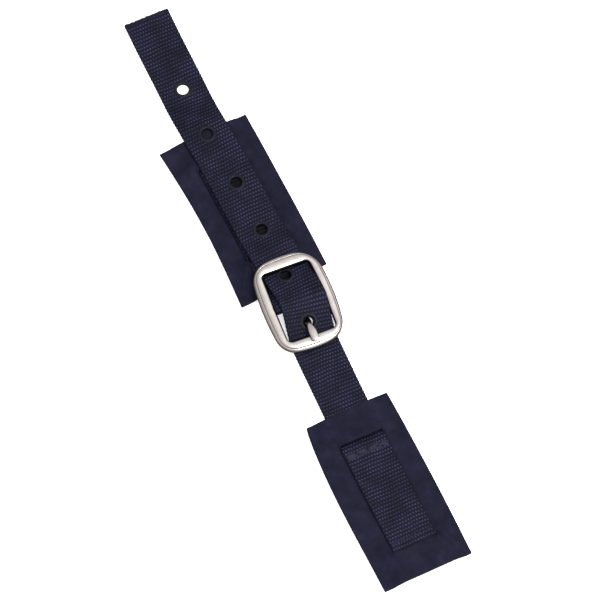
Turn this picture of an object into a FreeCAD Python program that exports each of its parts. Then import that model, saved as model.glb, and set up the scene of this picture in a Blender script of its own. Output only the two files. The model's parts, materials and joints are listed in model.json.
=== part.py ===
import FreeCAD, Part
import math
import os
import Sketcher

# A short buckled girth strap: a webbing billet with eyelets runs through a centre-bar buckle
# and ends on a lower patch; a second webbing, folded round the buckle's bar, carries an upper
# patch. Millimetres. +X runs along the strap from the free end to the lower patch, +Z is up,
# and the middle of the buckle's bar is at x = 0, y = 0 until the whole is centred at the end.

DIMENSIONS = {
    # webbing and patch sheet
    "webWidth": 25.4,
    "webThick": 1.7,
    "sheetThick": 1.5,
    "airGap": 0.3,
    "slitLength": 7.0,
    "slitClear": 0.4,
    "slitPlay": 0.8,
    "patchCorner": 0.8,
    # buckle frame and its centre bar
    "frameThick": 3.4,
    "frameYaw": -4.5,
    "frameTilt": 7.0,
    "frameMiddleHeight": 6.8,
    "barDrop": 0.5,
    "barRadius": 1.6,
    "barReach": 33.0,
    "outerHalfLength": 27.0,
    "outerHalfWidth": 19.6,
    "outerCorner": 9.0,
    "innerHalfLength": 21.0,
    "innerHalfWidth": 14.6,
    "innerCorner": 2.6,
    "endBow": 1.9,
    "railBow": 1.5,
    "innerBow": 0.8,
    "faceRound": 2.3,
    "windowRound": 1.4,
    "backRound": 0.9,
    # tongue
    "tongueYaw": -3.5,
    "tongueThick": 2.2,
    "tongueWidth": 3.0,
    "tongueTipWidth": 4.4,
    "tongueNeck": 14.0,
    "tongueSwell": 20.0,
    "tongueReach": 25.4,
    "tongueRing": 2.75,
    "tonguePlay": 0.08,
    "tongueSlot": 5.4,
    # eyelets
    "eyeletPitch": 30.6,
    "tongueEyelet": 12.3,
    "eyeletBore": 3.1,
    "eyeletBarrel": 3.55,
    "eyeletRim": 4.95,
    "rimThick": 0.7,
    "rimSunk": 0.35,
    "washerThick": 0.4,
    # seams
    "tackThick": 0.6,
    "tackWidth": 3.9,
    "tackLength": 24.0,
    "stitchThick": 0.28,
    "stitchWidth": 1.4,
}

EYELETS = 6
UPSLOPE = 11.3
DOWNSLOPE = 28.0

# The strap's line seen from above: it bows a little through the buckle.
STRAP_LINE = [
    (-187.4, 0.1), (-165.0, -0.5), (-140.0, -0.9), (-116.0, -1.4), (-95.0, -0.6), (-60.0, -0.3),
    (-16.0, 0.6), (1.0, 1.4), (17.0, -1.1), (33.0, -2.3), (75.0, -3.9), (164.0, -4.9),
]
UPPER_STRAP_LINE = [(-107.0, -1.7), (-60.0, -1.2), (-25.0, -1.0), (8.0, -1.4)]
# Each patch's corners seen from above.
UPPER_PATCH = [(-113.0, 23.1), (-111.2, -28.4), (-11.8, -27.8), (-15.4, 23.9)]
LOWER_PATCH = [(66.2, 19.8), (66.6, -27.4), (169.3, -31.2), (169.1, 20.0)]
# How far each hole, 1 to 6, was punched off its even place, along and across the webbing.
HOLE_OFFSETS = [(-2.1, 0.3), (-1.7, 0.2), (-0.1, 0.9), (0.0, 0.8), (0.6, -1.2), (0.0, 0.0)]
UPPER_SLITS = (-92.0, -33.5)
LOWER_SLITS = (85.0, 152.0)
# Where the billet bends: behind the upper patch and in front of the lower one.
FREE_END_BEND = -122.5
# Where the billet climbs onto the upper patch, and then onto the folded strap's tail.
PATCH_CLIMB = (-132.0, -116.0)
TAIL_CLIMB = (-43.0, -35.0)
# Half the distance along the strap in which it passes through a slit.
SLIT_RAMP = 2.5
# How steeply, in degrees, the folded strap climbs to the bar from below and from above.
UNDER_SLOPE = 15.0
OVER_SLOPE = 19.0
# The middle, half length and side shift of the tongue's slot in the fold.
TONGUE_SLOT = (-1.0, 9.0, -0.3)
# How far past the slit the folded strap's tail ends.
TAIL_REACH = 2.7
LOWER_END_BEND = 46.0
# The tongue seen from the side, from the bar to its tip; the third number rounds the corner.
TONGUE_ROUTE = [
    (1.3, -1.6, 0), (6.8, -3.3, 4), (10.3, -2.85, 3), (15.6, 0.45, 3), (19.0, 1.0, 6), (26.0, 0.4, 0),
]

doc = FreeCAD.newDocument("saddle_girth")
sheet = doc.addObject("Spreadsheet::Sheet", "sizes")
for row, (alias, value) in enumerate(DIMENSIONS.items(), start=1):
    sheet.set(f"A{row}", alias)
    sheet.set(f"B{row}", str(value))
    sheet.setAlias(f"B{row}", alias)
doc.recompute()
NODES = []


def size(alias):
    return float(getattr(sheet, alias))


def bind(thing, **names):
    """Sets the thing's properties to formulas over the sheet's cells."""
    for name, formula in names.items():
        thing.setExpression(name, formula)
    return thing


def finish_node(thing, name):
    """Keeps a shape as a sub-part under its own name."""
    thing.Label = name
    NODES.append(thing)
    return thing


def unit(start, end):
    run = (end[0] - start[0], end[1] - start[1])
    length = math.hypot(*run)
    return run[0] / length, run[1] / length


def rounded(corners):
    """The lines and arcs of a closed outline of (a, b, radius) corners."""
    stretches = []
    for index, (a, b, radius) in enumerate(corners):
        before = corners[index - 1]
        after = corners[(index + 1) % len(corners)]
        back = unit((a, b), before)
        ahead = unit((a, b), after)
        cosine = max(-1.0, min(1.0, back[0] * ahead[0] + back[1] * ahead[1]))
        half = math.acos(cosine) / 2
        if radius <= 0 or half > math.radians(89.9):
            stretches.append([(a, b)])
            continue
        leg = radius / math.tan(half)
        middle = unit((0, 0), (back[0] + ahead[0], back[1] + ahead[1]))
        far = radius / math.sin(half) - radius
        stretches.append([
            (a + back[0] * leg, b + back[1] * leg),
            (a + middle[0] * far, b + middle[1] * far),
            (a + ahead[0] * leg, b + ahead[1] * leg),
        ])
    pieces = []
    for index, stretch in enumerate(stretches):
        if len(stretch) == 3:
            pieces.append(Part.Arc(*[FreeCAD.Vector(a, b, 0) for a, b in stretch]))
        start = FreeCAD.Vector(*stretch[-1], 0)
        end = FreeCAD.Vector(*stretches[(index + 1) % len(stretches)][0], 0)
        if start.distanceToPoint(end) > 1e-6:
            pieces.append(Part.LineSegment(start, end))
    return pieces


def ribbon_outline(route, thick):
    """The closed side outline of a sheet that follows a route of (x, z, radius) points."""
    sides = ([], [])
    for index, (x, z, radius) in enumerate(route):
        here = (x, z)
        into = unit(route[index - 1][:2], here) if index else None
        out = unit(here, route[index + 1][:2]) if index + 1 < len(route) else None
        into = into or out
        out = out or into
        normal = unit((0, 0), (-into[1] - out[1], into[0] + out[0]))
        reach = thick / 2 / (normal[0] * -into[1] + normal[1] * into[0])
        turn = into[0] * out[1] - into[1] * out[0]
        for side, sign in zip(sides, (1, -1)):
            bend = radius - sign * math.copysign(thick / 2, turn) if radius else 0
            side.append((x + sign * normal[0] * reach, z + sign * normal[1] * reach, bend))
    return rounded(sides[0] + sides[1][::-1])


def add_sketch(name, geometry, rotation=None):
    sketch = doc.addObject("Sketcher::SketchObject", name)
    if rotation:
        sketch.Placement = FreeCAD.Placement(FreeCAD.Vector(0, 0, 0), rotation)
    sketch.addGeometry(geometry, False)
    return sketch


SIDE_VIEW = FreeCAD.Rotation(FreeCAD.Vector(1, 0, 0), 90)


def bar_turn():
    """The turn about Z from the part's Y to the bar's direction."""
    return FreeCAD.Rotation(FreeCAD.Vector(0, 0, 1), size("frameYaw"))


def extrude(name, sketch, length, along_bar):
    """Extrudes a sketch by a length formula: a side view along the bar, a plan upwards."""
    solid = doc.addObject("Part::Extrusion", name)
    solid.Base = sketch
    solid.DirMode = "Custom"
    solid.Dir = bar_turn().multVec(FreeCAD.Vector(0, 1, 0)) if along_bar else FreeCAD.Vector(0, 0, 1)
    solid.Solid = True
    solid.Symmetric = along_bar
    return bind(solid, LengthFwd=length)


def combine(kind, name, shapes):
    """A Part::MultiCommon or Part::MultiFuse of shapes."""
    both = doc.addObject(kind, name)
    both.Shapes = shapes
    return both


def cut(name, base, tools):
    """The base without the tools."""
    tool = tools[0]
    if len(tools) > 1:
        tool = combine("Part::MultiFuse", f"{name}_tools", tools)
    result = doc.addObject("Part::Cut", name)
    result.Base = base
    result.Tool = tool
    return result


def slot_box(name, x, half_length, y, half_width, z_range):
    """A box across the strap at x, squared to the bar's direction."""
    block = doc.addObject("Part::Box", name)
    block.Length = half_length * 2
    block.Width = half_width * 2
    block.Height = z_range[1] - z_range[0]
    corner = FreeCAD.Placement(FreeCAD.Vector(-half_length, y - half_width, z_range[0]), FreeCAD.Rotation())
    block.Placement = FreeCAD.Placement(FreeCAD.Vector(x, 0, 0), bar_turn()).multiply(corner)
    return block


def curve(line):
    """A smooth curve through the points of a line."""
    spline = Part.BSplineCurve()
    spline.interpolate([FreeCAD.Vector(x, y, 0) for x, y in line])
    return spline


def y_on(line, x):
    """The y of the smooth curve through a line's points at x."""
    cross = Part.LineSegment(FreeCAD.Vector(x, -50, 0), FreeCAD.Vector(x, 50, 0))
    return curve(line).intersect(cross)[0].Y


def band_outline(line, width):
    """The closed plan outline of a strap of a width along a smooth line."""
    upper = curve([(x, y + width / 2) for x, y in line])
    lower = curve([(x, y - width / 2) for x, y in line])
    start = Part.LineSegment(upper.StartPoint, lower.StartPoint)
    end = Part.LineSegment(upper.EndPoint, lower.EndPoint)
    return [upper, lower, start, end]


def strap(name, route, line):
    """Webbing that follows a side route and a plan line."""
    thick = size("webThick")
    side = add_sketch(f"{name}_side", ribbon_outline(route, thick), SIDE_VIEW)
    plan = add_sketch(f"{name}_plan", band_outline(line, size("webWidth")))
    plan.Placement.Base = FreeCAD.Vector(0, 0, -5)
    width = extrude(f"{name}_width", side, "sizes.webWidth * 2", True)
    height = extrude(f"{name}_height", plan, "sizes.frameThick * 8", False)
    return combine("Part::MultiCommon", f"{name}_ribbon", [width, height])


def tangent_corner(centre, radius, first, second):
    """Where the tangents to a circle with outward normals at two angles meet."""
    half = math.radians(second - first) / 2
    middle = math.radians(first + second) / 2
    reach = radius / math.cos(half)
    return centre[0] + reach * math.cos(middle), centre[1] + reach * math.sin(middle)


def down_to(corner, height, degrees):
    """The x at which a line through a corner, sloping by degrees, is at a height."""
    return corner[0] + (height - corner[1]) / math.tan(math.radians(degrees))


# Heights of the layers' middles, from the floor up.
web = size("webThick")
patch = size("sheetThick")
gap = size("airGap")
WEB_FLOOR = web / 2
WEB_ON_PATCH = patch + web / 2
PATCH_FLOOR = patch / 2
PATCH_ON_WEB = web + patch / 2
TAIL_ON_PATCH = web + patch + web / 2
BILLET_ON_STRAP = patch + web + gap + web / 2
BILLET_ON_TAIL = web + patch + web + gap + web / 2
BAR = (0.0, size("frameMiddleHeight") - size("barDrop"))
FOLD_RADIUS = size("barRadius") + 0.1 + web / 2
HUMP_RADIUS = FOLD_RADIUS + web + gap
HALF_SLIT = size("slitLength") / 2
PAST_END = 4.0


def billet_route():
    """The side route of the whole billet, over the patch, the strap's fold and the lower patch."""
    top = tangent_corner(BAR, HUMP_RADIUS, 90 + UPSLOPE, 90 - DOWNSLOPE)
    rise = down_to(top, BILLET_ON_TAIL, UPSLOPE)
    land = down_to(top, WEB_FLOOR, -DOWNSLOPE)
    return [
        (STRAP_LINE[0][0] - PAST_END, WEB_FLOOR, 0),
        (PATCH_CLIMB[0], WEB_FLOOR, 12),
        (PATCH_CLIMB[1], BILLET_ON_STRAP, 12),
        (TAIL_CLIMB[0], BILLET_ON_STRAP, 8),
        (TAIL_CLIMB[1], BILLET_ON_TAIL, 8),
        (rise, BILLET_ON_TAIL, 8),
        (*top, HUMP_RADIUS),
        (land, WEB_FLOOR, 6),
        (LOWER_SLITS[0] - SLIT_RAMP, WEB_FLOOR, 3),
        (LOWER_SLITS[0] + SLIT_RAMP, WEB_ON_PATCH, 3),
        (LOWER_SLITS[1] - SLIT_RAMP, WEB_ON_PATCH, 3),
        (LOWER_SLITS[1] + SLIT_RAMP, WEB_FLOOR, 3),
        (STRAP_LINE[-1][0] + PAST_END, WEB_FLOOR, 0),
    ]


BILLET = billet_route()


def height_on(route, x):
    """The height and slope of a route at x."""
    for (x0, z0, _), (x1, z1, _) in zip(route, route[1:]):
        if x0 <= x <= x1:
            slope = (z1 - z0) / (x1 - x0)
            return z0 + slope * (x - x0), math.atan(slope)
    return route[-1][1], 0.0


def bend_place(x):
    z, slope = height_on(BILLET, x)
    return x, z, slope


def x_behind(route, x, distance):
    """The x reached by going back along a route from x by a distance measured on the webbing."""
    for (x0, z0, _), (x1, z1, _) in reversed(list(zip(route, route[1:]))):
        if x0 >= x:
            continue
        stretch = math.hypot(x1 - x0, z1 - z0) / (x1 - x0)
        reach = (min(x, x1) - x0) * stretch
        if reach >= distance:
            return min(x, x1) - distance / stretch
        distance -= reach
    return route[0][0]


def eyelet_frame(number):
    """Where eyelet 1, at the free end, to 6, on the tongue, sits, and how it leans."""
    off_x, off_y = HOLE_OFFSETS[number - 1]
    x = x_behind(BILLET, size("tongueEyelet"), (EYELETS - number) * size("eyeletPitch")) + off_x
    y = y_on(STRAP_LINE, x) + off_y
    z, slope = height_on(BILLET, x + y * math.tan(math.radians(size("frameYaw"))))
    lean = FreeCAD.Rotation(FreeCAD.Vector(0, 1, 0), -math.degrees(slope))
    return FreeCAD.Placement(FreeCAD.Vector(x, y, z), bar_turn().multiply(lean))


def cylinder(name, placement, low, radius, height):
    """A cylinder along its placement's Z, starting at low, with radius and height as formulas."""
    solid = doc.addObject("Part::Cylinder", name)
    bind(solid, Radius=radius, Height=height)
    solid.Placement = placement.multiply(FreeCAD.Placement(FreeCAD.Vector(0, 0, low), FreeCAD.Rotation()))
    return solid


def eyelet_recess(name, number):
    """What an eyelet takes out of the webbing: its barrel, its sunk rim and its washer."""
    place = eyelet_frame(number)
    half = web / 2
    barrel = cylinder(f"{name}_hole_{number}", place, -half - 1, "sizes.eyeletBarrel", "sizes.webThick + 2")
    sunk = half - size("rimSunk")
    rim = cylinder(f"{name}_rim_{number}", place, sunk, "sizes.eyeletRim", "sizes.rimSunk + 1")
    under = cylinder(f"{name}_under_{number}", place, -half - 1, "sizes.eyeletRim", "sizes.washerThick + 1")
    return [barrel, rim, under]


def add_billet():
    """The billet webbing: a free end, a long middle stretch and a lower end."""
    free_bend = bend_place(FREE_END_BEND)
    lower_bend = bend_place(LOWER_END_BEND)
    clear = web / 2 + gap
    back = [point for point in BILLET if point[0] < FREE_END_BEND]
    middle = [point for point in BILLET if FREE_END_BEND < point[0] < LOWER_END_BEND]
    front = [point for point in BILLET if point[0] > LOWER_END_BEND]
    lean = free_bend[2]
    near_end = (free_bend[0] - clear * math.cos(lean), free_bend[1] - clear * math.sin(lean), 0)
    stretches = {
        "billet_free_end": (back + [near_end], (1,)),
        "billet_strap": ([(*free_bend[:2], 0)] + middle + [(*lower_bend[:2], 0)], (2, 3, 4, 5, 6)),
        "billet_lower_end": ([(LOWER_END_BEND + clear, WEB_FLOOR, 0)] + front, ()),
    }
    for name, (route, eyelets) in stretches.items():
        solid = strap(name, route, STRAP_LINE)
        if name == "billet_strap":
            rounds = []
            for number, (x, z, _) in enumerate((free_bend, lower_bend), start=1):
                turn = bar_turn().multiply(FreeCAD.Rotation(FreeCAD.Vector(1, 0, 0), 90))
                place = FreeCAD.Placement(FreeCAD.Vector(x, 0, z), turn)
                middle = y_on(STRAP_LINE, x)
                rounds.append(cylinder(f"bend_round_{number}", place, -middle - size("webWidth") / 2,
                                       "sizes.webThick / 2", "sizes.webWidth"))
            solid = combine("Part::MultiFuse", "billet_strap_rounded", [solid] + rounds)
        recesses = [tool for number in eyelets for tool in eyelet_recess(name, number)]
        if recesses:
            solid = cut(f"{name}_punched", solid, recesses)
        finish_node(solid, name)


def add_eyelets():
    """Each eyelet is a rim and barrel from above, clenched over a washer from below."""
    half = web / 2
    for number in range(1, EYELETS + 1):
        place = eyelet_frame(number)
        rim_low = half - size("rimSunk")
        rim = cylinder(f"rim_{number}", place, rim_low, "sizes.eyeletRim", "sizes.rimThick")
        barrel = cylinder(f"barrel_{number}", place, -half, "sizes.eyeletBarrel", "sizes.webThick")
        bore = cylinder(f"bore_{number}", place, -half - 1, "sizes.eyeletBore", "sizes.webThick + 3")
        body = combine("Part::MultiFuse", f"eyelet_body_{number}", [rim, barrel])
        finish_node(cut(f"eyelet_cut_{number}", body, [bore]), f"eyelet_{number}")
        disc = cylinder(f"disc_{number}", place, -half, "sizes.eyeletRim", "sizes.washerThick")
        hole = cylinder(f"disc_hole_{number}", place, -half - 1, "sizes.eyeletBarrel",
                        "sizes.washerThick + 2")
        finish_node(cut(f"washer_cut_{number}", disc, [hole]), f"eyelet_washer_{number}")


def add_buckle_strap():
    """Webbing folded round the bar, its tail sewn over the patch's near margin."""
    low_corner = tangent_corner(BAR, FOLD_RADIUS, UNDER_SLOPE - 90, 0)
    high_corner = tangent_corner(BAR, FOLD_RADIUS, 0, 90 + OVER_SLOPE)
    route = [
        (UPPER_STRAP_LINE[0][0] - PAST_END, WEB_FLOOR, 0),
        (UPPER_SLITS[0] - SLIT_RAMP, WEB_FLOOR, 3),
        (UPPER_SLITS[0] + SLIT_RAMP, WEB_ON_PATCH, 3),
        (UPPER_SLITS[1] - SLIT_RAMP, WEB_ON_PATCH, 3),
        (UPPER_SLITS[1] + SLIT_RAMP, WEB_FLOOR, 3),
        (down_to(low_corner, WEB_FLOOR, UNDER_SLOPE), WEB_FLOOR, 6),
        (*low_corner, FOLD_RADIUS),
        (*high_corner, FOLD_RADIUS),
        (down_to(high_corner, TAIL_ON_PATCH, OVER_SLOPE), TAIL_ON_PATCH, 4),
        (UPPER_SLITS[1] + TAIL_REACH, TAIL_ON_PATCH, 0),
    ]
    solid = strap("buckle_strap", route, UPPER_STRAP_LINE)
    slot = slot_box("tongue_slot", *TONGUE_SLOT, size("tongueSlot") / 2, (-1, 12))
    finish_node(cut("buckle_strap_slotted", solid, [slot]), "buckle_strap")


def add_patch(name, corners, slits, line):
    """A patch sheet that dips between its two slits; its margins lie over the webbing."""
    low_x = min(x for x, _ in corners) - 1
    high_x = max(x for x, _ in corners) + 1
    route = [
        (low_x, PATCH_ON_WEB, 0),
        (slits[0] - HALF_SLIT, PATCH_ON_WEB, 2),
        (slits[0] + HALF_SLIT, PATCH_FLOOR, 2),
        (slits[1] - HALF_SLIT, PATCH_FLOOR, 2),
        (slits[1] + HALF_SLIT, PATCH_ON_WEB, 2),
        (high_x, PATCH_ON_WEB, 0),
    ]
    side = add_sketch(f"{name}_side", ribbon_outline(route, patch), SIDE_VIEW)
    plan = add_sketch(f"{name}_plan", rounded([(x, y, size("patchCorner")) for x, y in corners]))
    width = extrude(f"{name}_width", side, "sizes.webWidth * 4", True)
    height = extrude(f"{name}_height", plan, "sizes.frameThick * 8", False)
    solid = combine("Part::MultiCommon", f"{name}_sheet", [width, height])
    half = (size("webWidth") + size("slitPlay")) / 2
    slots = []
    for number, x in enumerate(slits, start=1):
        reach = HALF_SLIT + size("slitClear")
        slots.append(slot_box(f"{name}_slit_{number}", x, reach, y_on(line, x), half, (-1, 9)))
    finish_node(cut(f"{name}_slit", solid, slots), name)


def add_seam(name, x, base, width, thick, line):
    """A raised row of thread across the webbing."""
    seam = doc.addObject("Part::Box", name)
    bind(seam, Length=f"sizes.{width}", Width="sizes.tackLength", Height=f"sizes.{thick}")
    slope = math.degrees(math.atan(y_on(line, x + 1) - y_on(line, x)))
    centre = FreeCAD.Placement(
        FreeCAD.Vector(x, y_on(line, x), base), FreeCAD.Rotation(FreeCAD.Vector(0, 0, 1), slope))
    corner = FreeCAD.Vector(-size(width) / 2, -size("tackLength") / 2, 0)
    seam.Placement = centre.multiply(FreeCAD.Placement(corner, FreeCAD.Rotation()))
    finish_node(seam, name)


def add_seams():
    """Rows of thread: over the webbing on each patch, and over the fold's tail."""
    on_patch = patch + web
    on_tail = on_patch + web
    seams = [
        ("lower_patch_tack", 93.2, on_patch, "tack", STRAP_LINE),
        ("lower_patch_end_stitch", 147.5, on_patch, "stitch", STRAP_LINE),
        ("fold_stitch_near", -18.5, on_tail, "stitch", UPPER_STRAP_LINE),
        ("fold_stitch_far", -27.0, on_tail, "stitch", UPPER_STRAP_LINE),
        ("upper_patch_end_stitch", -86.0, on_patch, "stitch", UPPER_STRAP_LINE),
    ]
    for name, x, base, kind, line in seams:
        add_seam(name, x, base, f"{kind}Width", f"{kind}Thick", line)


def bowed(half_length, half_width, end_bow, rail_bow):
    """A four-sided outline whose ends and rails bow outwards."""
    corner = (half_length - end_bow, half_width - rail_bow)
    ends = [(corner[0], -corner[1]), corner, (-corner[0], corner[1]), (-corner[0], -corner[1])]
    tops = [(half_length, 0), (0, half_width), (-half_length, 0), (0, -half_width)]
    sides = []
    for index, top in enumerate(tops):
        three = (ends[index], top, ends[(index + 1) % 4])
        sides.append(Part.Arc(*[FreeCAD.Vector(x, y, 0) for x, y in three]))
    return sides


def body_plane(body, role):
    return next(item for item in body.Origin.OriginFeatures if item.Role == role)


def upright_edges(feature, near, far):
    """The names of a solid's upright edges whose distance from the axis is in a range."""
    names = []
    for number, edge in enumerate(feature.Shape.Edges, start=1):
        start = edge.Vertexes[0].Point
        end = edge.Vertexes[-1].Point
        upright = math.hypot(start.x - end.x, start.y - end.y) < 1e-6
        if upright and near < math.hypot(start.x, start.y) < far:
            names.append(f"Edge{number}")
    return names


def level_edges(feature, height, near_x, far_x):
    """The names of the edges at a height with their middle's reach between two values."""
    names = []
    for number, edge in enumerate(feature.Shape.Edges, start=1):
        box_of = edge.BoundBox
        level = abs(box_of.ZMin - height) < 1e-6 and abs(box_of.ZMax - height) < 1e-6
        middle = edge.valueAt((edge.FirstParameter + edge.LastParameter) / 2)
        reach = max(abs(middle.x) / size("outerHalfLength"), abs(middle.y) / size("outerHalfWidth"))
        if level and near_x < reach < far_x:
            names.append(f"Edge{number}")
    return names


def add_fillet(body, base, edges, radius):
    fillet = body.newObject("PartDesign::Fillet", f"round_{len(body.Group)}")
    fillet.Base = (base, edges)
    fillet.Radius = radius
    doc.recompute()
    return fillet


# The share of the frame's reach that parts the window's edges from the outer ones.
RIM_SHARE = 0.86
FAR = 99.0


def add_buckle_frame():
    """The domed frame and its centre bar."""
    body = doc.addObject("PartDesign::Body", "frame_body")
    sketch = body.newObject("Sketcher::SketchObject", "frame_outline")
    sketch.AttachmentSupport = (body_plane(body, "XY_Plane"), [""])
    sketch.MapMode = "FlatFace"
    outer = bowed(size("outerHalfLength"), size("outerHalfWidth"), size("endBow"), size("railBow"))
    inner = bowed(size("innerHalfLength"), size("innerHalfWidth"), size("innerBow"), size("innerBow"))
    sketch.addGeometry(outer + inner, False)
    pad = body.newObject("PartDesign::Pad", "frame_plate")
    pad.Profile = sketch
    pad.Midplane = True
    bind(pad, Length="sizes.frameThick")
    doc.recompute()
    split = (math.hypot(size("innerHalfLength"), size("innerHalfWidth")) + 1)
    last = add_fillet(body, pad, upright_edges(pad, split, FAR), size("outerCorner"))
    last = add_fillet(body, last, upright_edges(last, 0, split), size("innerCorner"))
    half = size("frameThick") / 2
    last = add_fillet(body, last, level_edges(last, half, RIM_SHARE, FAR), size("faceRound"))
    last = add_fillet(body, last, level_edges(last, half, 0, RIM_SHARE), size("windowRound"))
    last = add_fillet(body, last, level_edges(last, -half, 0, FAR), size("backRound"))
    bar_sketch = body.newObject("Sketcher::SketchObject", "bar_round")
    bar_sketch.AttachmentSupport = (body_plane(body, "XZ_Plane"), [""])
    bar_sketch.MapMode = "FlatFace"
    centre = FreeCAD.Vector(0, -size("barDrop"), 0)
    up = FreeCAD.Vector(0, 0, 1)
    ring = bar_sketch.addGeometry(Part.Circle(centre, up, size("barRadius")), False)
    bar_sketch.addConstraint(Sketcher.Constraint("Radius", ring, size("barRadius")))
    bar_sketch.setExpression("Constraints[0]", "sizes.barRadius")
    bar = body.newObject("PartDesign::Pad", "centre_bar")
    bar.Profile = bar_sketch
    bar.Midplane = True
    bind(bar, Length="sizes.barReach")
    doc.recompute()
    body.Tip = bar
    body.Placement = frame_place()
    finish_node(body, "buckle_frame")


def frame_place():
    """The frame leans back over the thicker end of the stack and turns a little on the strap."""
    lean = FreeCAD.Rotation(FreeCAD.Vector(0, 1, 0), size("frameTilt"))
    turn = bar_turn()
    lift = FreeCAD.Vector(0, 0, size("frameMiddleHeight"))
    tilted_bar = lean.multVec(FreeCAD.Vector(0, 0, -size("barDrop")))
    bar_drop = FreeCAD.Vector(0, 0, -size("barDrop"))
    shift = turn.multVec(bar_drop - tilted_bar)
    return FreeCAD.Placement(lift + shift, turn.multiply(lean))


def add_tongue():
    """A flat-sided tongue, looped round the bar, up through the eyelet and onto the end bar."""
    side = add_sketch("tongue_side", ribbon_outline(TONGUE_ROUTE, size("tongueThick")), SIDE_VIEW)
    narrow = size("tongueWidth") / 2
    wide = size("tongueTipWidth") / 2
    neck = size("tongueNeck")
    swell = size("tongueSwell")
    tip = size("tongueReach")
    low_side = [(0, -narrow, 0), (neck, -narrow, 6), (swell, -wide, 6), (tip, -wide, 2)]
    high_side = [(x, -y, radius) for x, y, radius in low_side[::-1]]
    plan = add_sketch("tongue_plan", rounded(low_side + high_side))
    plan.Placement.Base = FreeCAD.Vector(0, 0, -10)
    width = extrude("tongue_width", side, "sizes.tongueWidth * 3", True)
    width.Dir = FreeCAD.Vector(0, 1, 0)
    height = extrude("tongue_height", plan, "sizes.frameThick * 6", False)
    shank = combine("Part::MultiCommon", "tongue_shank", [width, height])
    shank.Placement.Rotation = FreeCAD.Rotation(FreeCAD.Vector(0, 0, 1), size("tongueYaw"))
    sideways = bar_turn().multiply(FreeCAD.Rotation(FreeCAD.Vector(1, 0, 0), 90))
    across = FreeCAD.Placement(FreeCAD.Vector(0, 0, 0), sideways)
    ring = cylinder("tongue_ring", across, -wide, "sizes.tongueRing", "sizes.tongueTipWidth")
    bore = cylinder("tongue_bore", across, -wide - 1, "sizes.barRadius + sizes.tonguePlay",
                    "sizes.tongueTipWidth + 2")
    solid = cut("tongue_cut", combine("Part::MultiFuse", "tongue_whole", [shank, ring]), [bore])
    solid.Placement.Base = FreeCAD.Vector(0, 0, BAR[1])
    finish_node(solid, "buckle_tongue")


add_billet()
add_eyelets()
add_buckle_strap()
add_patch("upper_patch", UPPER_PATCH, UPPER_SLITS, UPPER_STRAP_LINE)
add_patch("lower_patch", LOWER_PATCH, LOWER_SLITS, STRAP_LINE)
add_seams()
add_buckle_frame()
add_tongue()
doc.recompute()

for thing in doc.Objects:
    if "Invalid" in thing.State or "Error" in thing.State:
        raise RuntimeError(f"{thing.Name} failed: {thing.State}")
for node in NODES:
    if node.Shape.isNull() or not node.Shape.isValid():
        raise RuntimeError(f"{node.Label} has no valid shape")

# The whole is centred on its box, on the floor.
whole = FreeCAD.BoundBox()
for node in NODES:
    whole.add(node.Shape.BoundBox)
middle = FreeCAD.Vector(-whole.Center.x, -whole.Center.y, -whole.ZMin)
os.makedirs("parts", exist_ok=True)
for node in NODES:
    node.Placement.Base = node.Placement.Base + middle
doc.recompute()
for node in NODES:
    node.Shape.exportStep(f"parts/{node.Label}.step")
print("nodes", len(NODES), "moved by", middle, "box", whole)
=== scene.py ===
import json
import math

import bpy
import numpy as np
from mathutils import Matrix, Vector


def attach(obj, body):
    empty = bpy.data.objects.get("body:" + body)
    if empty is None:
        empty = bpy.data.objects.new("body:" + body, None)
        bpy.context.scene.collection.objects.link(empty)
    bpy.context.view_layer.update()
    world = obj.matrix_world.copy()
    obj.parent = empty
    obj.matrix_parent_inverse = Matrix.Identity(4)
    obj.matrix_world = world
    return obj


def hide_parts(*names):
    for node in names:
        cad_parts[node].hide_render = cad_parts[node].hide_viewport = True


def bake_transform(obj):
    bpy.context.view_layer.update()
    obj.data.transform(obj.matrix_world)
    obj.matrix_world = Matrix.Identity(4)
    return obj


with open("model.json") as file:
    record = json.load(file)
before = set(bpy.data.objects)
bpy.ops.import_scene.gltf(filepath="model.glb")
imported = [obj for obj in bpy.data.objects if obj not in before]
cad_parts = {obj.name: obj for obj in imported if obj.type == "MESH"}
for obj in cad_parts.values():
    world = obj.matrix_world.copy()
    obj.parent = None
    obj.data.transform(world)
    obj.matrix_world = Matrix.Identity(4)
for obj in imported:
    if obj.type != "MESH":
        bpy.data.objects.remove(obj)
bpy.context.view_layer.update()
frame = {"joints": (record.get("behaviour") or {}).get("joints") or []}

# Lengths below are in millimetres from the middle of the buckle's bar, as in the CAD source:
# x along the strap towards the lower patch, z up from the surface that the strap lies on.
MM = 0.001
JOINTS = {joint["name"]: joint for joint in frame["joints"]}
BAR_POINT = Vector(JOINTS["tongue_pivot"]["pos_m"])
ORIGIN = Vector((BAR_POINT.x, BAR_POINT.y, 0.0))
BAR_HEIGHT = BAR_POINT.z / MM
YAW = math.radians(-4.5)
LEAN = -math.tan(YAW)          # how far the bar's direction leans to +x for each mm of y

WEB_WIDTH = 25.4
WEB_THICK = 1.7
SHEET_THICK = 1.5
AIR_GAP = 0.3
ROW_PITCH = 2.07               # one weft row along the webbing
WARP_PITCH = 0.8               # one warp yarn across the webbing
GRID_ALONG = ROW_PITCH / 6
RELIEF = 0.21                  # height of the webbing's weave
FLAT_EDGE = 11.9               # beyond this distance from its middle the webbing has no weave
WEAVE_EDGE = 12.5

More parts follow.
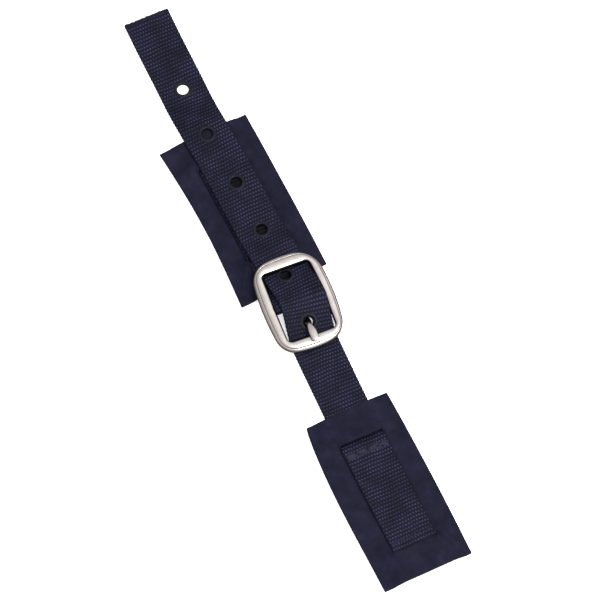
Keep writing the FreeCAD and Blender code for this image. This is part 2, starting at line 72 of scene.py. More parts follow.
STRAP_LINE = [
    (-187.4, 0.1), (-165.0, -0.5), (-140.0, -0.9), (-116.0, -1.4), (-95.0, -0.6), (-60.0, -0.3),
    (-35.0, 0.3), (-14.0, 1.2), (2.0, 1.6), (17.0, -1.0), (33.0, -2.3), (75.0, -3.9), (164.0, -4.9),
]
UPPER_STRAP_LINE = [(-107.0, -1.7), (-60.0, -1.2), (-25.0, -1.0), (8.0, -1.4)]
UPPER_SLITS = (-92.0, -33.5)
LOWER_SLITS = (85.0, 152.0)
UPSLOPE = 11.3
DOWNSLOPE = 28.0
BUTT = 22.6                    # where the billet's two meshes meet, under the frame's end bar
FREE_END = STRAP_LINE[0][0]
LOWER_END = STRAP_LINE[-1][0]
PAST_ENDS = (-192.0, 172.0)    # the billet's route runs on past both its ends
PATCH_CLIMB = (-132.0, -116.0) # where the billet climbs on to the upper patch
TAIL_CLIMB = (-43.0, -35.0)    # where it climbs on to the buckle strap's tail
FREE_END_BEND = -122.5
LOWER_END_BEND = 46.0

EYELET_PITCH = 30.6
TONGUE_EYELET = 12.3           # where the eyelet that the tongue is in lies
HOLE_OFFSETS = [(-2.1, 0.3), (-1.7, 0.2), (-0.1, 0.9), (0.0, 0.8), (0.6, -1.2), (0.0, 0.0)]
EYELET_RIM = 4.95
EYELET_BORE = 3.1
EYELET_BARREL = 3.55
PRESSED_BORE = 2.25            # the washer behind the tongue's eyelet is pressed inwards


def place(x, y, z):
    """A point or arrays of points in metres, in the row frame."""
    return np.stack([ORIGIN.x + x * MM, ORIGIN.y + y * MM, z * MM], axis=-1)


# ---- smooth random values

def value_noise(shape, cells, seed):
    """A smooth random field from -1 to 1 over a grid, from random values on a coarser one."""
    draw = np.random.default_rng(seed)
    coarse = draw.uniform(-1, 1, (cells[0] + 2, cells[1] + 2))
    a = np.linspace(0, cells[0], shape[0])
    b = np.linspace(0, cells[1], shape[1])
    i = np.minimum(a.astype(int), cells[0])
    j = np.minimum(b.astype(int), cells[1])
    fa = a - i
    fb = b - j
    fa = (fa * fa * (3 - 2 * fa))[:, None]
    fb = (fb * fb * (3 - 2 * fb))[None, :]
    top = coarse[np.ix_(i, j)] * (1 - fb) + coarse[np.ix_(i, j + 1)] * fb
    low = coarse[np.ix_(i + 1, j)] * (1 - fb) + coarse[np.ix_(i + 1, j + 1)] * fb
    return top * (1 - fa) + low * fa


def smooth_step(low, high, value):
    """0 below low and 1 above high, smooth in between; low may be the larger one."""
    t = np.clip((value - low) / (high - low), 0, 1)
    return t * t * (3 - 2 * t)


# ---- routes

def through(points, x):
    """A smooth curve (natural cubic) through (x, y) points."""
    px = np.array([p[0] for p in points], float)
    py = np.array([p[1] for p in points], float)
    n = len(px)
    h = np.diff(px)
    a = np.eye(n)
    b = np.zeros(n)
    for i in range(1, n - 1):
        a[i, i - 1:i + 2] = (h[i - 1], 2 * (h[i - 1] + h[i]), h[i])
        b[i] = 6 * ((py[i + 1] - py[i]) / h[i] - (py[i] - py[i - 1]) / h[i - 1])
    m = np.linalg.solve(a, b)
    x = np.asarray(x, float)
    i = np.clip(np.searchsorted(px, x) - 1, 0, n - 2)
    u = x - px[i]
    v = px[i + 1] - x
    hi = h[i]
    cubic = (m[i] * v ** 3 + m[i + 1] * u ** 3) / (6 * hi)
    return cubic + (py[i] / hi - m[i] * hi / 6) * v + (py[i + 1] / hi - m[i + 1] * hi / 6) * u


def conic(first, tip, last, weight, t):
    """A point of the rounded corner from first to last, whose tangents meet at tip."""
    parts = np.array([(1 - t) ** 2, 2 * t * (1 - t) * weight, t * t])
    return parts @ np.array([first, tip, last]) / parts.sum()


def rounded_route(corners):
    """(arc length, x, z) samples of a side route with its corners rounded to their radii."""
    points = [np.array(corners[0][:2], float)]
    for before, here, after in zip(corners, corners[1:], corners[2:]):
        p = np.array(here[:2], float)
        back = np.array(before[:2], float) - p
        ahead = np.array(after[:2], float) - p
        back /= np.linalg.norm(back)
        ahead /= np.linalg.norm(ahead)
        half = math.acos(float(np.clip(back @ ahead, -1, 1))) / 2
        if here[2] <= 0 or half > math.radians(89.9):
            points.append(p)
            continue
        leg = here[2] / math.tan(half)
        for t in np.linspace(0, 1, 13):
            points.append(conic(p + back * leg, p, p + ahead * leg, math.sin(half), t))
    points.append(np.array(corners[-1][:2], float))
    points = np.array(points)
    s = np.concatenate([[0], np.cumsum(np.linalg.norm(np.diff(points, axis=0), axis=1))])
    even = np.arange(0, s[-1], 0.2)
    return even, np.interp(even, s, points[:, 0]), np.interp(even, s, points[:, 1])


def tangent_corner(centre, radius, first, second):
    """Where the tangents to a circle with outward normals at two angles meet."""
    half = math.radians(second - first) / 2
    middle = math.radians(first + second) / 2
    reach = radius / math.cos(half)
    return centre[0] + reach * math.cos(middle), centre[1] + reach * math.sin(middle)


def down_to(corner, height, degrees):
    """Where a line through a corner at a slope reaches a height."""
    return corner[0] + (height - corner[1]) / math.tan(math.radians(degrees))


WEB_FLOOR = WEB_THICK / 2
WEB_ON_PATCH = SHEET_THICK + WEB_THICK / 2
PATCH_FLOOR = SHEET_THICK / 2
PATCH_ON_WEB = WEB_THICK + SHEET_THICK / 2
TAIL_ON_PATCH = WEB_THICK + SHEET_THICK + WEB_THICK / 2
BILLET_ON_STRAP = SHEET_THICK + WEB_THICK + AIR_GAP + WEB_THICK / 2
BILLET_ON_TAIL = TAIL_ON_PATCH + WEB_THICK + AIR_GAP
BAR = (0.0, BAR_HEIGHT)
FOLD_RADIUS = 2.55
HUMP_RADIUS = FOLD_RADIUS + WEB_THICK + AIR_GAP
SLIT_RAMP = 2.5


def billet_corners():
    """The billet's side route as (x, z, radius): over the upper patch, the tail and the bar, and
    through the lower patch's slits."""
    top = tangent_corner(BAR, HUMP_RADIUS, 90 + UPSLOPE, 90 - DOWNSLOPE)
    rise = down_to(top, BILLET_ON_TAIL, UPSLOPE)
    land = down_to(top, WEB_FLOOR, -DOWNSLOPE)
    return [
        (PAST_ENDS[0], WEB_FLOOR, 0),
        (PATCH_CLIMB[0], WEB_FLOOR, 12),
        (PATCH_CLIMB[1], BILLET_ON_STRAP, 12),
        (TAIL_CLIMB[0], BILLET_ON_STRAP, 8),
        (TAIL_CLIMB[1], BILLET_ON_TAIL, 8),
        (rise, BILLET_ON_TAIL, 8),
        (*top, HUMP_RADIUS),
        (land, WEB_FLOOR, 6),
        (LOWER_SLITS[0] - SLIT_RAMP, WEB_FLOOR, 3),
        (LOWER_SLITS[0] + SLIT_RAMP, WEB_ON_PATCH, 3),
        (LOWER_SLITS[1] - SLIT_RAMP, WEB_ON_PATCH, 3),
        (LOWER_SLITS[1] + SLIT_RAMP, WEB_FLOOR, 3),
        (PAST_ENDS[1], WEB_FLOOR, 0),
    ]


BILLET = rounded_route(billet_corners())


def billet_height(x):
    """The height of the billet's middle at a side position."""
    return np.interp(x, BILLET[1], BILLET[2])


def billet_length(x):
    """The distance along the webbing at a side position."""
    return np.interp(x, BILLET[1], BILLET[0])


def lean_at(x):
    """How far a crossing line leans: along the bar at the buckle, square to the strap further on."""
    return LEAN * (1 - 0.85 * smooth_step(35.0, 75.0, x))


def billet_point(x, t):
    """A point of the billet's middle surface: x on its centre line, t across it."""
    y0 = through(STRAP_LINE, x)
    slope = (through(STRAP_LINE, x + 0.5) - through(STRAP_LINE, x - 0.5))
    norm = np.sqrt(1 + slope ** 2)
    px = x - slope / norm * t
    py = y0 + t / norm
    return px, py, billet_height(px - lean_at(px) * py)


def eyelet_spot(number):
    """Where eyelet 1 to 6 is along and across the webbing, counted back from the tongue's."""
    off_x, off_y = HOLE_OFFSETS[number - 1]
    distance = billet_length(TONGUE_EYELET) - (6 - number) * EYELET_PITCH
    return float(np.interp(distance, BILLET[0], BILLET[1])) + off_x, off_y


def shade_under_eyelets(x, y):
    """1 below an eyelet's hole and 0 elsewhere: where painted shade darkens the cloth below, standing
    in for the hole's shadow.
    """
    shade = np.zeros(np.shape(x))
    for number in range(1, 7):
        px, py, _ = billet_point(*(np.float64(value) for value in eyelet_spot(number)))
        away = np.hypot(x - px, y - py)
        shade = np.maximum(shade, smooth_step(EYELET_BARREL + 0.6, EYELET_BORE - 0.2, away))
    return shade


# ---- meshes

def new_piece(name, points, faces):
    mesh = bpy.data.meshes.new(name)
    mesh.from_pydata([tuple(p) for p in points], [], [tuple(f) for f in faces])
    mesh.validate()
    mesh.polygons.foreach_set("use_smooth", [True] * len(mesh.polygons))
    piece = bpy.data.objects.new(name, mesh)
    bpy.context.scene.collection.objects.link(piece)
    return piece


def set_attribute(piece, name, kind, values):
    """A value for each vertex, which the materials read."""
    layer = piece.data.attributes.new(name, kind, "POINT")
    key = "vector" if kind == "FLOAT_VECTOR" else "value"
    layer.data.foreach_set(key, np.asarray(values, np.float32).ravel())


def slab(name, top, bottom, keep, values, vectors):
    """A closed sheet from two grids of points. keep is true for each cell that has cloth;
    walls close its edges and holes. values and vectors are per grid point, for the materials."""
    rows, columns = top.shape[:2]
    used = np.zeros((rows, columns), bool)
    used[:-1, :-1] |= keep
    used[1:, :-1] |= keep
    used[:-1, 1:] |= keep
    used[1:, 1:] |= keep
    index = np.full((rows, columns), -1)
    index[used] = np.arange(used.sum())
    count = int(used.sum())
    i, j = np.nonzero(keep)
    a, b, c, d = index[i, j], index[i + 1, j], index[i + 1, j + 1], index[i, j + 1]
    faces = [np.stack([a, b, c, d], 1), np.stack([a, d, c, b], 1) + count]
    padded_keep = np.pad(keep, 1)
    for (di, dj), (p, q) in {(-1, 0): (a, d), (1, 0): (c, b), (0, -1): (b, a), (0, 1): (d, c)}.items():
        edge = ~padded_keep[1 + i + di, 1 + j + dj]
        faces.append(np.stack([p[edge], p[edge] + count, q[edge] + count, q[edge]], 1)[:, ::-1])
    points = np.concatenate([top[used], bottom[used]])
    piece = new_piece(name, points, np.concatenate(faces))
    set_attribute(piece, "relief", "FLOAT", np.concatenate([values[used]] * 2))
    set_attribute(piece, "cloth", "FLOAT_VECTOR", np.concatenate([vectors[used]] * 2))
    return piece


def grid_normals(middle):
    """Unit normals of a grid of points that faces up."""
    along = np.gradient(middle, axis=0)
    across = np.gradient(middle, axis=1)
    normal = np.cross(along, across)
    normal /= np.linalg.norm(normal, axis=2, keepdims=True)
    return normal * np.sign(normal[..., 2].mean())


def webbing_columns():
    """Positions across the webbing, closer together where the selvedge turns over."""
    flat = np.arange(-11.6, 11.61, WARP_PITCH / 2.5)
    turn = [11.85, 12.1, 12.32, 12.5, 12.62, 12.7]
    return np.array([-v for v in turn[::-1]] + list(flat) + turn)


def selvedge_half(t):
    """Half the webbing's thickness at t across it: full, then rounded off at the selvedge."""
    over = np.clip((np.abs(t) - (WEB_WIDTH / 2 - 0.9)) / 0.9, 0, 0.985)
    return WEB_THICK / 2 * np.sqrt(1 - over ** 2)


def weave(s, t, seed):
    """The relief of a plain weave, -1 to 1: staggered warp floats between weft rows."""
    drift = value_noise(s.shape, (max(3, s.shape[0] // 60), 4), seed) * 0.28
    lateral = value_noise(s.shape, (max(3, s.shape[0] // 25), 5), seed + 1) * 0.16
    row = math.pi * (s + drift) / ROW_PITCH
    yarn = math.pi * (t + lateral) / WARP_PITCH
    floats = np.cos(row) * np.cos(yarn)
    floats = np.sign(floats) * np.abs(floats) ** 0.8
    ridges = np.cos(2 * row)
    uneven = 1 + 0.35 * value_noise(s.shape, (max(4, s.shape[0] // 9), 12), seed + 2)
    return (0.52 * floats + 0.48 * ridges) * uneven


def webbing(name, s, middle, t, seed, keep, unsealed):
    """A strap of webbing over a grid of middle points, with its weave as real relief. unsealed is
    0 where heat has melted the weave flat."""
    normal = grid_normals(middle)
    half = selvedge_half(t)
    height = weave(s, t, seed) * smooth_step(WEAVE_EDGE, FLAT_EDGE, np.abs(t)) * unsealed
    edge_wave = 0.10 * np.cos(2 * math.pi * s / ROW_PITCH) * smooth_step(12.0, 12.6, np.abs(t))
    sideways = np.gradient(middle, axis=1)
    sideways /= np.linalg.norm(sideways, axis=2, keepdims=True)
    middle = middle + sideways * (np.sign(t) * edge_wave * MM)[..., None]
    top = middle + normal * ((half + RELIEF * height - RELIEF * 0.6) * MM)[..., None]
    bottom = middle - normal * ((half + RELIEF * height - RELIEF * 1.35) * MM)[..., None]
    cloth = np.stack([s, t, np.ones_like(s)], axis=-1)
    return slab(name, top, bottom, keep, height, cloth)


def cells_clear_of_eyelets(x, t, numbers, radius):
    """Which grid cells aren't wholly inside an eyelet's hole."""
    keep = np.ones((x.shape[0] - 1, x.shape[1] - 1), bool)
    s = billet_length(x)
    for number in numbers:
        hole_x, hole_t = eyelet_spot(number)
        away = np.hypot(s - billet_length(hole_x), t - hole_t)
        inside = away < radius
        keep &= ~(inside[:-1, :-1] & inside[1:, :-1] & inside[:-1, 1:] & inside[1:, 1:])
    return keep


def billet_piece(name, start, end, eyelets, seed):
    """The billet from one side position to another, with holes for some eyelets. Its free end is
    cut ragged and sealed by heat."""
    s = np.arange(billet_length(start), billet_length(end), GRID_ALONG)
    s = np.append(s, billet_length(end))
    columns = webbing_columns()
    x_line = np.interp(s, BILLET[0], BILLET[1])
    x, t = np.meshgrid(x_line, columns, indexing="ij")
    length = np.meshgrid(s, columns, indexing="ij")[0]
    px, py, pz = billet_point(x, t)
    middle = place(px, py, pz)
    keep = cells_clear_of_eyelets(x, t, eyelets, EYELET_BARREL)
    unsealed = 1.0
    if start == FREE_END:
        from_end = length - billet_length(start)
        unsealed = smooth_step(1.2, 3.6, from_end + 0.5 * value_noise(length.shape, (4, 9), seed + 7))
        ragged = 0.25 * value_noise(length.shape, (3, 40), seed + 8) * smooth_step(2.0, 0.0, from_end)
        middle[..., 0] += ragged * MM
    return webbing(name, length, middle, t, seed, keep, unsealed)


# ---- materials

class Shader:
    """A material and short ways to add nodes to it."""

    def __init__(self, name):
        self.material = bpy.data.materials.new(name)
        self.material.use_nodes = True
        self.tree = self.material.node_tree
        self.surface = self.tree.nodes["Principled BSDF"]

    def link(self, source, target):
        self.tree.links.new(source, target)

    def node(self, kind, **inputs):
        made = self.tree.nodes.new(kind)
        for key, value in inputs.items():
            by_number = key[0] == "i" and key[1:].isdigit()
            socket = made.inputs[int(key[1:]) if by_number else key]
            if isinstance(value, bpy.types.NodeSocket):
                self.link(value, socket)
            else:
                socket.default_value = value
        return made

    def math(self, operation, a, b=0.0):
        made = self.node("ShaderNodeMath", i0=a, i1=b)
        made.operation = operation
        return made.outputs[0]

    def attribute(self, name):
        made = self.tree.nodes.new("ShaderNodeAttribute")
        made.attribute_name = name
        return made

    def cloth(self):
        """The distance along and across the cloth, in mm."""
        split = self.node("ShaderNodeSeparateXYZ", Vector=self.attribute("cloth").outputs["Vector"])
        return split.outputs[0], split.outputs[1]

    def noise(self, vector, scale, detail=3.0, rough=0.55):
        return self.node("ShaderNodeTexNoise", Vector=vector, Scale=scale, Detail=detail,
                         Roughness=rough).outputs["Fac"]

    def place(self):
        return self.tree.nodes.new("ShaderNodeTexCoord").outputs["Object"]

    def ramp(self, factor, stops):
        made = self.node("ShaderNodeValToRGB", Fac=factor)
        ramp = made.color_ramp
        while len(ramp.elements) < len(stops):
            ramp.elements.new(0.5)
        for element, (position, colour) in zip(ramp.elements, stops):
            element.position = position
            element.color = (*colour, 1)
        return made.outputs["Color"]

    def span(self, factor, low, high, to_low, to_high):
        made = self.node("ShaderNodeMapRange", Value=factor)
        made.inputs["From Min"].default_value = low
        made.inputs["From Max"].default_value = high
        made.inputs["To Min"].default_value = to_low
        made.inputs["To Max"].default_value = to_high
        return made.outputs["Result"]

    def mix(self, factor, a, b, blend="MIX"):
        made = self.tree.nodes.new("ShaderNodeMix")
        made.data_type = "RGBA"
        made.blend_type = blend
        for socket, value in zip((made.inputs[0], made.inputs[6], made.inputs[7]), (factor, a, b)):
            if isinstance(value, bpy.types.NodeSocket):
                self.link(value, socket)
            else:
                socket.default_value = (*value, 1) if isinstance(value, tuple) else value
        return made.outputs[2]

    def grey(self, level):
        return self.node("ShaderNodeCombineColor", Red=level, Green=level, Blue=level).outputs[0]

    def bump(self, height, distance, strength=1.0, normal=None):
        made = self.node("ShaderNodeBump", Height=height, Distance=distance, Strength=strength)
        if normal is not None:
            self.link(normal, made.inputs["Normal"])
        return made.outputs["Normal"]

    def set(self, **inputs):
        for key, value in inputs.items():
            socket = self.surface.inputs[key.replace("_", " ")]
            if isinstance(value, bpy.types.NodeSocket):
                self.link(value, socket)
            elif isinstance(value, tuple):
                socket.default_value = (*value, 1)
            else:
                socket.default_value = value
        return self.material


def webbing_material():
    """Navy nylon webbing: warp floats over weft rows, each yarn of twisted filaments."""
    m = Shader("webbing_navy")
    s, t = m.cloth()
    relief = m.attribute("relief").outputs["Fac"]
    strand = m.math("ADD", m.math("MULTIPLY", t, 23.0), m.math("MULTIPLY", s, 5.5))
    filaments = m.math("SINE", strand)
    fuzz = m.noise(m.place(), 5200.0, 2.0)
    cast = m.noise(m.place(), 95.0, 3.0)
    # painted shade: the colour follows the weave's relief, near-black in its grooves and lighter on its
    # crests, so the weave's shading is painted in; where the relief is set low below the eyelet holes,
    # the cloth takes the darkest colour
    body = m.ramp(m.span(relief, -0.9, 1.0, 0.0, 1.0), [
        (0.00, (0.0006, 0.0006, 0.0026)),
        (0.38, (0.0024, 0.0025, 0.0094)),
        (0.62, (0.0086, 0.0089, 0.0268)),
        (0.82, (0.0212, 0.0218, 0.0530)),
        (1.00, (0.0350, 0.0360, 0.0770)),
    ])
    tinted = m.mix(m.span(cast, 0.38, 0.62, 0.0, 0.55), body, (0.022, 0.030, 0.058), "SOFT_LIGHT")
    tinted = m.mix(m.span(m.noise(m.place(), 160.0, 2.0), 0.45, 0.7, 0.0, 0.35), tinted,
                   (0.60, 0.48, 0.62), "OVERLAY")
    streak = m.span(m.math("ADD", filaments, m.math("MULTIPLY", fuzz, 1.6)), -1.0, 2.6, 0.80, 1.20)
    colour = m.mix(1.0, tinted, m.grey(streak), "MULTIPLY")
    bump = m.bump(m.math("ADD", filaments, m.math("MULTIPLY", fuzz, 1.2)), 0.00004, 0.6)
    rough = m.span(fuzz, 0.3, 0.7, 0.52, 0.70)
    return m.set(Base_Color=colour, Roughness=rough, Normal=bump, Specular_IOR_Level=0.12)


def patch_material():
    """Navy coated nylon: a close fine weave under a matt coating, darker at its cut edge, with painted
    shade below the eyelet holes.
    """
    m = Shader("patch_navy")
    s, t = m.cloth()
    edge = m.attribute("relief").outputs["Fac"]
    weft = m.math("SINE", m.math("MULTIPLY", s, 9.5))
    warp = m.math("SINE", m.math("MULTIPLY", t, 9.5))
    fine = m.math("MULTIPLY", weft, warp)
    cloud = m.noise(m.place(), 120.0, 5.0, 0.65)
    grain = m.noise(m.place(), 2600.0, 3.0)
    base = m.ramp(m.span(cloud, 0.32, 0.68, 0.0, 1.0), [
        (0.00, (0.0024, 0.0030, 0.0100)),
        (0.45, (0.0046, 0.0048, 0.0142)),
        (0.70, (0.0064, 0.0058, 0.0168)),
        (1.00, (0.0092, 0.0078, 0.0210)),
    ])
    speck = m.span(m.math("ADD", fine, grain), -1.0, 2.0, 0.80, 1.20)
    base = m.mix(1.0, base, m.grey(speck), "MULTIPLY")
    # edge carries the cut edge's darker band and the painted shade below the eyelet holes
    colour = m.mix(m.span(edge, 0.55, 1.0, 0.0, 0.8), base, (0.006, 0.0062, 0.012))
    bump = m.bump(m.math("ADD", m.math("MULTIPLY", fine, 0.7), grain), 0.00005, 0.5)
    wide = m.bump(cloud, 0.0010, 0.5, bump)
    return m.set(Base_Color=colour, Roughness=m.span(grain, 0.3, 0.7, 0.62, 0.78), Normal=wide,
                 Specular_IOR_Level=0.10)


def thread_material():
    """Navy sewing thread: a twisted two-ply polyester, a little lighter than the webbing."""
    m = Shader("thread_navy")
    s, t = m.cloth()
    ply = m.math("SINE", m.math("ADD", m.math("MULTIPLY", s, 9.0), m.math("MULTIPLY", t, 6.0)))
    lint = m.noise(m.place(), 3000.0, 2.0)
    level = m.span(m.math("ADD", ply, lint), -1.0, 2.0, 0.0, 1.0)
    colour = m.ramp(level, [
        (0.00, (0.0046, 0.0053, 0.0145)),
        (0.60, (0.0119, 0.0125, 0.0297)),
        (1.00, (0.0211, 0.0224, 0.0462)),
    ])
    return m.set(Base_Color=colour, Roughness=m.span(lint, 0.3, 0.7, 0.42, 0.58),
                 Normal=m.bump(ply, 0.00005, 0.7), Specular_IOR_Level=0.2)


def nickel_material(name, tarnish):
    """Polished nickel plate: warm, with faint polishing lines, small dents, tarnish in its pits, and
    painted shade and dark reflections, a little rougher, where its attribute marks them.
    """
    m = Shader(name)
    wide = m.noise(m.place(), 140.0, 3.0)
    stretched = m.node("ShaderNodeMapping", Vector=m.place(), Scale=(1.0, 9.0, 3.0)).outputs[0]
    lines = m.noise(stretched, 900.0, 2.0)
    pits = m.noise(m.place(), 1500.0, 4.0, 0.7)
    worn = m.span(m.math("ADD", wide, m.math("MULTIPLY", lines, 0.5)), 0.5, 1.0, 0.0, 1.0)
    colour = m.mix(worn, (0.60, 0.560, 0.540), (0.47, 0.430, 0.410))
    stained_and_shaded = m.mix(m.span(pits, 0.60, 0.78, 0.0, tarnish), colour, (0.20, 0.175, 0.16))
    # painted shade and dark reflections: where the attribute read here is high, the nickel is painted
    # darker, near-black above 1, and made a little rougher
    shade_and_roughness = m.attribute("shade_and_roughness").outputs["Fac"]
    dark_shade = m.math("MULTIPLY", shade_and_roughness, m.span(lines, 0.35, 0.65, 0.75, 1.0))
    stained_and_shaded = m.mix(dark_shade, stained_and_shaded, (0.17, 0.150, 0.138))
    stained_and_shaded = m.mix(m.span(shade_and_roughness, 1.0, 1.4, 0.0, 1.0), stained_and_shaded, (0.020, 0.018, 0.018))
    rough = m.span(m.math("ADD", lines, pits), 0.6, 1.4, 0.13, 0.26)
    rough = m.math("ADD", rough, m.math("MULTIPLY", shade_and_roughness, 0.08))
    dents = m.bump(wide, 0.00030, 0.25, m.bump(lines, 0.00003, 0.35))
    return m.set(Base_Color=stained_and_shaded, Metallic=1.0, Roughness=rough, Normal=dents)


def eyelet_material():
    """Black-painted brass eyelets, satin, with faint rubbing on the rolled rim."""
    m = Shader("eyelet_black")
    rub = m.noise(m.place(), 800.0, 4.0, 0.65)
    colour = m.ramp(rub, [
        (0.00, (0.0032, 0.0032, 0.0052)),
        (0.60, (0.0068, 0.0068, 0.0118)),
        (1.00, (0.0190, 0.0184, 0.0240)),
    ])
    return m.set(Base_Color=colour, Metallic=0.0, Roughness=m.span(rub, 0.3, 0.7, 0.38, 0.55),
                 Normal=m.bump(rub, 0.00008, 0.4), Specular_IOR_Level=0.10)


def floor_material():
    """A plain pale studio floor."""
    m = Shader("studio_floor")
    soft = m.noise(m.place(), 3.0, 2.0)
    colour = m.ramp(soft, [(0.0, (0.93, 0.93, 0.93)), (1.0, (0.95, 0.95, 0.95))])
    return m.set(Base_Color=colour, Roughness=0.85, Specular_IOR_Level=0.1,
                 Emission_Color=(1.0, 1.0, 1.0), Emission_Strength=0.60)


WEBBING = webbing_material()
PATCH = patch_material()
THREAD = thread_material()
NICKEL_FRAME = nickel_material("nickel_frame", 0.35)
NICKEL_TONGUE = nickel_material("nickel_tongue", 0.55)
EYELET = eyelet_material()


def finish_piece(piece, material, body=None, nodes=(), blend=None):
    """Gives a piece its material and slot, and hides the nodes that it replaces. It rides on body, or,
    when blend is given, on no body, with its placement baked in; the bodies and bend zone that blend
    holds are not used.
    """
    piece.data.materials.clear()
    piece.data.materials.append(material)
    if nodes:
        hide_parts(*nodes)
    if blend:
        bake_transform(piece)
    else:
        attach(piece, body)


# ---- webbing pieces

def bend_zone(middle, before, after):
    """Where the webbing starts and stops bending."""
    return tuple(tuple(place(*np.float64([x, 0.0, 0.0]))) for x in (middle - before, middle + after))


upper_billet = billet_piece("billet_upper", FREE_END, BUTT, range(1, 7), 11)
finish_piece(upper_billet, WEBBING, nodes=("billet_free_end", "billet_strap"),
             blend=("free_end", "buckle", *bend_zone(FREE_END_BEND, 8, 8)))
lower_billet = billet_piece("billet_lower", BUTT, LOWER_END, (), 11)
finish_piece(lower_billet, WEBBING, nodes=("billet_lower_end",),
             blend=("buckle", "lower_end", *bend_zone(LOWER_END_BEND, 12, 14)))

TONGUE_SLOT = (-9.5, -0.3, 2.7)  # where it starts, its middle and half its width
FOLD_SLOPES = (15.0, 19.0)       # how the fold leaves the bar below and above, in degrees
STRAP_FAR = UPPER_STRAP_LINE[-1][0]


def buckle_strap():
    """The other webbing: under and over the upper patch, folded round the bar, tail sewn down."""
    under_slope, over_slope = FOLD_SLOPES
    low_corner = tangent_corner(BAR, FOLD_RADIUS, under_slope - 90, 0)
    high_corner = tangent_corner(BAR, FOLD_RADIUS, 0, 90 + over_slope)
    s_line, x_line, z_line = rounded_route([
        (UPPER_STRAP_LINE[0][0], WEB_FLOOR, 0),
        (UPPER_SLITS[0] - SLIT_RAMP, WEB_FLOOR, 3),
        (UPPER_SLITS[0] + SLIT_RAMP, WEB_ON_PATCH, 3),
        (UPPER_SLITS[1] - SLIT_RAMP, WEB_ON_PATCH, 3),
        (UPPER_SLITS[1] + SLIT_RAMP, WEB_FLOOR, 3),
        (down_to(low_corner, WEB_FLOOR, under_slope), WEB_FLOOR, 6),
        (*low_corner, FOLD_RADIUS),
        (*high_corner, FOLD_RADIUS),
        (down_to(high_corner, TAIL_ON_PATCH, over_slope), TAIL_ON_PATCH, 4),
        (UPPER_SLITS[1] + 2.7, TAIL_ON_PATCH, 0),
    ])
    s = np.arange(0, s_line[-1], GRID_ALONG)
    columns = webbing_columns()
    length, t = np.meshgrid(s, columns, indexing="ij")
    xs = np.interp(length, s_line, x_line)
    zs = np.interp(length, s_line, z_line)
    y = through(UPPER_STRAP_LINE, xs) + t
    for _ in range(2):
        y = through(UPPER_STRAP_LINE, np.minimum(xs + LEAN * y, STRAP_FAR)) + t
    middle = place(xs + LEAN * y, y, zs)
    # the grid turns over at the fold, so its normals aren't made to face up
    normal = np.cross(np.gradient(middle, axis=0), np.gradient(middle, axis=1))
    normal /= np.linalg.norm(normal, axis=2, keepdims=True)
    relief = weave(length, t, 41) * smooth_step(WEAVE_EDGE, FLAT_EDGE, np.abs(t))
    out = ((selvedge_half(t) + RELIEF * (relief - 0.6)) * MM)[..., None]
    # the tongue comes through a slot in the fold
    slot_start, slot_middle, slot_half = TONGUE_SLOT
    side = xs[:-1, :-1] + LEAN * y[:-1, :-1]
    keep = ~((np.abs(y[:-1, :-1] - slot_middle) < slot_half) & (side > slot_start))
    # painted shade: below each eyelet's hole the fold's relief is set low, so the cloth there takes the
    # webbing's darkest colour in place of the hole's shadow
    shade = shade_under_eyelets(xs + LEAN * y, y)
    relief = relief * (1 - shade) - 0.95 * shade
    cloth = np.stack([length, t, np.ones_like(length)], axis=-1)
    piece = slab("buckle_strap_fold", middle + normal * out, middle - normal * out, keep, relief, cloth)
    finish_piece(piece, WEBBING, "upper_end", ("buckle_strap",))


buckle_strap()

# ---- patches

def bulged(start, end, bulge, peak, u):
    """Points along an edge from start to end, bulging to its left by bulge at peak."""
    x = start[0] + (end[0] - start[0]) * u
    y = start[1] + (end[1] - start[1]) * u
    power = math.log(0.5) / math.log(peak)
    swell = np.sin(math.pi * u ** power) * bulge
    norm = math.hypot(end[0] - start[0], end[1] - start[1])
    return x - (end[1] - start[1]) / norm * swell, y + (end[0] - start[0]) / norm * swell


def creases(x, y, folds):
    """Soft creases in a sheet: each is a start, an end, a height in mm and a width in mm."""
    total = np.zeros(x.shape)
    for (x0, y0), (x1, y1), height, width in folds:
        length = math.hypot(x1 - x0, y1 - y0)
        along = ((x - x0) * (x1 - x0) + (y - y0) * (y1 - y0)) / length ** 2
        off = ((x - x0) * (y1 - y0) - (y - y0) * (x1 - x0)) / length
        fade = smooth_step(-0.05, 0.3, along) * smooth_step(1.05, 0.6, along)
        total += height * fade * np.exp(-(off / width) ** 2)
    return total


PATCH_GRID = (300, 150)
SLIT_HALF_GAP = 0.55


